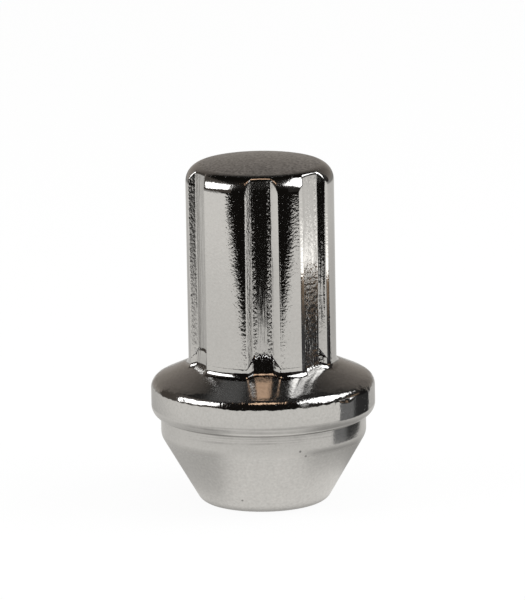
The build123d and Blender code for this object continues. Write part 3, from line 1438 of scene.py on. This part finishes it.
def shaded_table():
    """The table as the metal sees it, with a soft shadow at both sides of the nut."""
    material, tree = empty_material("shaded_table")
    place = millimetres(tree)
    x, y, _ = xyz(tree, place)
    apart = distance(tree, place, (0.0, 0.0, 0.0))
    rightness = calc(tree, "DIVIDE", x, apart)
    backness = calc(tree, "DIVIDE", y, apart)
    leaning = minus(tree, apart, times(tree, rightness, shadow_lean))
    shadow = level_ramp(tree, leaning, shadow_reach, shadow_levels)
    sideways = map_range(tree, backness, *shadow_start, kind="SMOOTHSTEP")
    deeper = map_range(tree, rightness, deeper_start, 1.0, 1.0, deeper_gain)
    unshaded = minus(tree, 1.0, times(tree, times(tree, shadow, sideways), deeper))
    dimmer = map_range(tree, backness, 0.0, 1.0, 1.0, far_level)
    pool = map_range(tree, distance(tree, place, pool_middle), 0.0, pool_radius, pool_level, 0.0)
    colour = level_ramp(tree, apart, table_reach, table_levels, table_tint)
    own_light(tree, colour, plus(tree, times(tree, dimmer, unshaded), pool))
    return material


mirrored_card("shaded_table", level_square(room_half, shaded_height), shaded_table())
print("table levels out to", table_levels[-1][0], "mm, and a pool at", pool_middle[:2])

# %% [markdown]
# ## Low and warm cards
# Two small things give the chrome its brown. One is low and dark with a brown top, close to the nut's right,
# and shows in the right groove and on the flange. The other is a warm card high above the front, which
# shows in the foot of the front groove and at the upper ends of the grooves. Tinting the metal instead would
# spread the brown everywhere.

# %% Low card beside the nut
near_x = 42.0
near_corners = [(-13, 0), (28, 0), (28, 11), (20, 24), (-13, 24)]
near_brown = (0.4, 0.29, 0.2)
near_black = (0.012, 0.011, 0.01)
# Where it darkens towards the back, and from which level to which
near_back = (-2.0, 4.0)
near_levels = (0.21, 0.04)
# Heights over which it darkens upwards, to this share, and heights over which its top begins
near_dim = (9.5, 13.0)
near_dim_share = 0.3
near_top = (17.0, 24.0)
# Places between which the top is coloured, and its colours by the share of the way
top_places = (-13.0, 28.0)
top_stops = [(0.18, near_black), (0.25, near_brown), (0.4, near_brown), (0.52, near_black)]


def near_material():
    """A low dark thing beside the nut, paler towards the front and brown along its top."""
    material, tree = empty_material("near_card")
    _, y, z = xyz(tree, millimetres(tree))
    level = map_range(tree, y, *near_back, *near_levels, kind="SMOOTHSTEP")
    level = times(tree, level, map_range(tree, z, *near_dim, 1.0, near_dim_share))
    side = put(tree, "ShaderNodeCombineColor", {0: level, 1: level, 2: level}).outputs[0]
    top = colour_ramp(tree, map_range(tree, y, *top_places), top_stops)
    # Inputs 6 and 7 of a colour Mix are its two colours, and output 2 is the mixed one
    ends = {0: map_range(tree, z, *near_top), 6: side, 7: top}
    own_light(tree, put(tree, "ShaderNodeMix", ends, data_type="RGBA").outputs[2])
    return material


mirrored_card("near_card", [(near_x, y, z) for y, z in near_corners], near_material())
print("low card", near_x, "mm to the right")

# %% Warm card above the front
nut_middle = Vector((0, 0, 30))
warm_colour = (1.36, 0.92, 0.63)
warm_elevation = 60.0
warm_distance = 320.0
warm_half_width, warm_half_height = 72.0, 50.0


def facing(azimuth, elevation):
    """Directions out from the nut and level across it; angles in degrees, azimuth 0 is the front."""
    turn, rise = radians(azimuth), radians(elevation)
    out = Vector((sin(turn) * cos(rise), -cos(turn) * cos(rise), sin(rise)))
    return out, Vector((cos(turn), sin(turn), 0))


warm_out, warm_across = facing(0, warm_elevation)
warm_place = nut_middle + warm_distance * warm_out
warm_side = warm_half_width * warm_across
warm_up = warm_half_height * warm_out.cross(warm_across)
warm_corners = [warm_place + x * warm_side + y * warm_up for x, y in square]
mirrored_card("warm_card", warm_corners, card_material("warm_card", warm_colour))
print("warm card at", [round(x) for x in warm_place], "mm")

# %% [markdown]
# ## Light
# Two large soft lamps stand left and right of the front. They give the barrel's shoulder and the flange
# their white highlights and the table its soft shadow. Small lamps would leave hard sparkles on chrome. The
# world adds an even fill, at a level at which a colour renders about as it is written.

# %% Soft lamps
lamp_radiance = 2.6
# Watts of an area lamp for each unit of radiance and each square metre
watts_share = 4.0
lamp_distance = 400.0
lamp_roll = radians(22)
# Azimuth and elevation in degrees, width and height in millimetres
lamps = {"left_lamp": (-75, 26.7, 307, 196), "right_lamp": (82, 40, 323, 260)}


def soft_lamp(name, azimuth, elevation, width, height):
    """A tilted rectangular lamp facing the middle of the nut."""
    data = bpy.data.lights.new(name, "AREA")
    data.shape = "RECTANGLE"
    data.size = width * MM
    data.size_y = height * MM
    data.energy = watts_share * lamp_radiance * data.size * data.size_y
    lamp = bpy.data.objects.new(name, data)
    out, level = facing(azimuth, elevation)
    across = cos(lamp_roll) * level + sin(lamp_roll) * out.cross(level)
    turn = Matrix((across, out.cross(across), out)).transposed().to_4x4()
    lamp.matrix_world = Matrix.Translation((nut_middle + lamp_distance * out) * MM) @ turn
    lamp.visible_camera = False
    bpy.context.scene.collection.objects.link(lamp)
    return lamp


for name, values in lamps.items():
    lamp = soft_lamp(name, *values)
    print(name, round(lamp.data.energy, 2), "W")

# %% Even fill from the world
fill_level = 0.75


def even_fill():
    """White for the camera and mirrors, and an even dimmer fill for lit surfaces."""
    world = bpy.data.worlds.new("even_fill")
    world.use_nodes = True
    tree = world.node_tree
    tree.nodes.clear()
    level = plus(tree, times(tree, seen_or_mirrored(tree), 1 - fill_level), fill_level)
    sky = put(tree, "ShaderNodeBackground", {"Color": (1, 1, 1, 1), "Strength": level})
    put(tree, "ShaderNodeOutputWorld", {"Surface": sky.outputs[0]})
    return world


bpy.context.scene.world = even_fill()
bpy.context.scene.view_settings.view_transform = "Standard"
print("fill", fill_level, "with view transform", bpy.context.scene.view_settings.view_transform)
